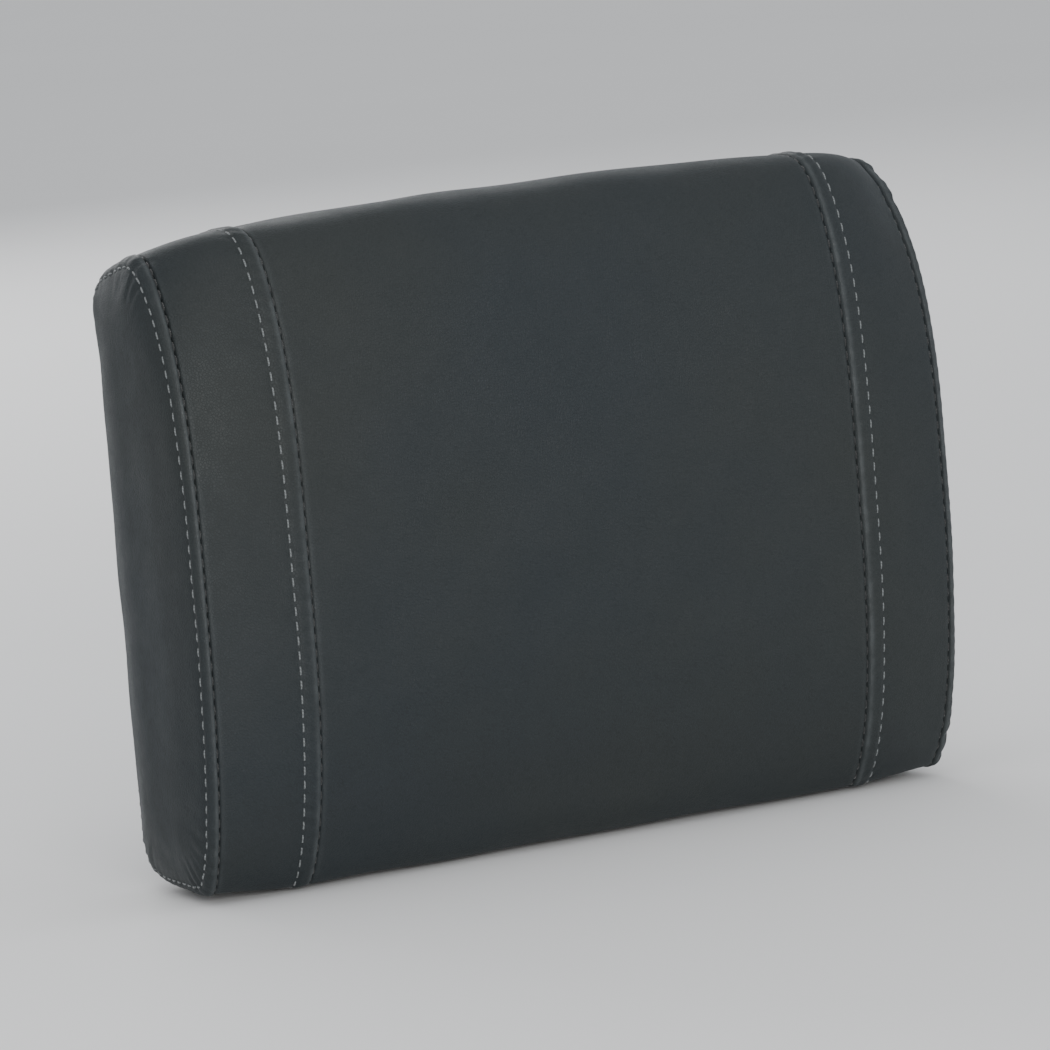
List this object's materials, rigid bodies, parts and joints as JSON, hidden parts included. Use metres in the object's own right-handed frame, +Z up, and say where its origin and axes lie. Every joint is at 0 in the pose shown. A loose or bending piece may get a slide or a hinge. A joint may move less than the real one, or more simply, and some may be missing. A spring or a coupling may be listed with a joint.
{
  "type": "lumbar support cushion",
  "caption": "Upright lumbar cushion: foam in a stitched artificial leather cover of sewn panels, with a back zip and a buckled elastic strap.",
  "frame": {"origin": "middle of the flat underside that the cushion stands on", "axes": "+X to the right seen from the front, along the cushion's width; +Y out of the flat back face, so the padded front faces -Y; +Z up"},
  "size_m": [0.34, 0.1033, 0.25],
  "materials": {
    "cover_leather": "matt fine-grained artificial leather, dark charcoal",
    "foam": "open-cell foam, cream",
    "wadding": "polyester wadding, white",
    "zip_tape": "woven tape, black",
    "zip_coil": "nylon coil, black",
    "zip_metal": "dark nickel plating",
    "strap_webbing": "woven elastic webbing, black",
    "buckle_plastic": "moulded acetal, black, satin"
  },
  "bodies": {
    "cushion": {"front_center_panel": "cover_leather", "face_band_left": "cover_leather", "face_band_right": "cover_leather", "end_panel_left": "cover_leather", "end_panel_right": "cover_leather", "back_panel_upper": "cover_leather", "back_panel_lower": "cover_leather", "foam_core": "foam", "wadding_wrap": "wadding", "zip_tape_upper": "zip_tape", "zip_tape_lower": "zip_tape", "zip_coil_upper": "zip_coil", "zip_coil_lower": "zip_coil", "zip_top_stop_upper": "zip_metal", "zip_top_stop_lower": "zip_metal", "zip_bottom_stop": "zip_metal", "strap_left": "strap_webbing", "buckle_socket": "buckle_plastic"},
    "zip_slider": {"zip_slider": "zip_metal"},
    "zip_pull": {"zip_pull_tab": "zip_metal"},
    "buckle_plug": {"buckle_plug": "buckle_plastic", "strap_right": "strap_webbing"},
    "latch_prong_upper": {"latch_prong_upper": "buckle_plastic"},
    "latch_prong_lower": {"latch_prong_lower": "buckle_plastic"},
    "strap_keeper": {"strap_keeper": "buckle_plastic"}
  },
  "joints": [
    {"name": "zip_travel", "type": "slide", "parent": "cushion", "child": "zip_slider", "axis": [-1, 0, 0], "range_m": [0, 0.26]},
    {"name": "pull_tab_flip", "type": "hinge", "parent": "zip_slider", "child": "zip_pull", "pos_m": [0.13, 0.0432, 0.042], "axis": [0, 0, -1], "range_deg": [0, 175]},
    {"name": "buckle_release", "type": "slide", "parent": "cushion", "child": "buckle_plug", "axis": [1, 0, 0], "range_m": [0, 0.022]},
    {"name": "prong_squeeze_upper", "type": "hinge", "parent": "buckle_plug", "child": "latch_prong_upper", "pos_m": [0.01, 0.054, 0.1518], "axis": [0, -1, 0], "range_deg": [0, 6], "stiffness_Nm_per_rad": 0.5},
    {"name": "prong_squeeze_lower", "type": "hinge", "parent": "buckle_plug", "child": "latch_prong_lower", "pos_m": [0.01, 0.054, 0.1282], "axis": [0, 1, 0], "range_deg": [0, 6], "stiffness_Nm_per_rad": 0.5},
    {"name": "keeper_slide", "type": "slide", "parent": "buckle_plug", "child": "strap_keeper", "axis": [1, 0, 0], "range_m": [-0.012, 0.012]}
  ]
}
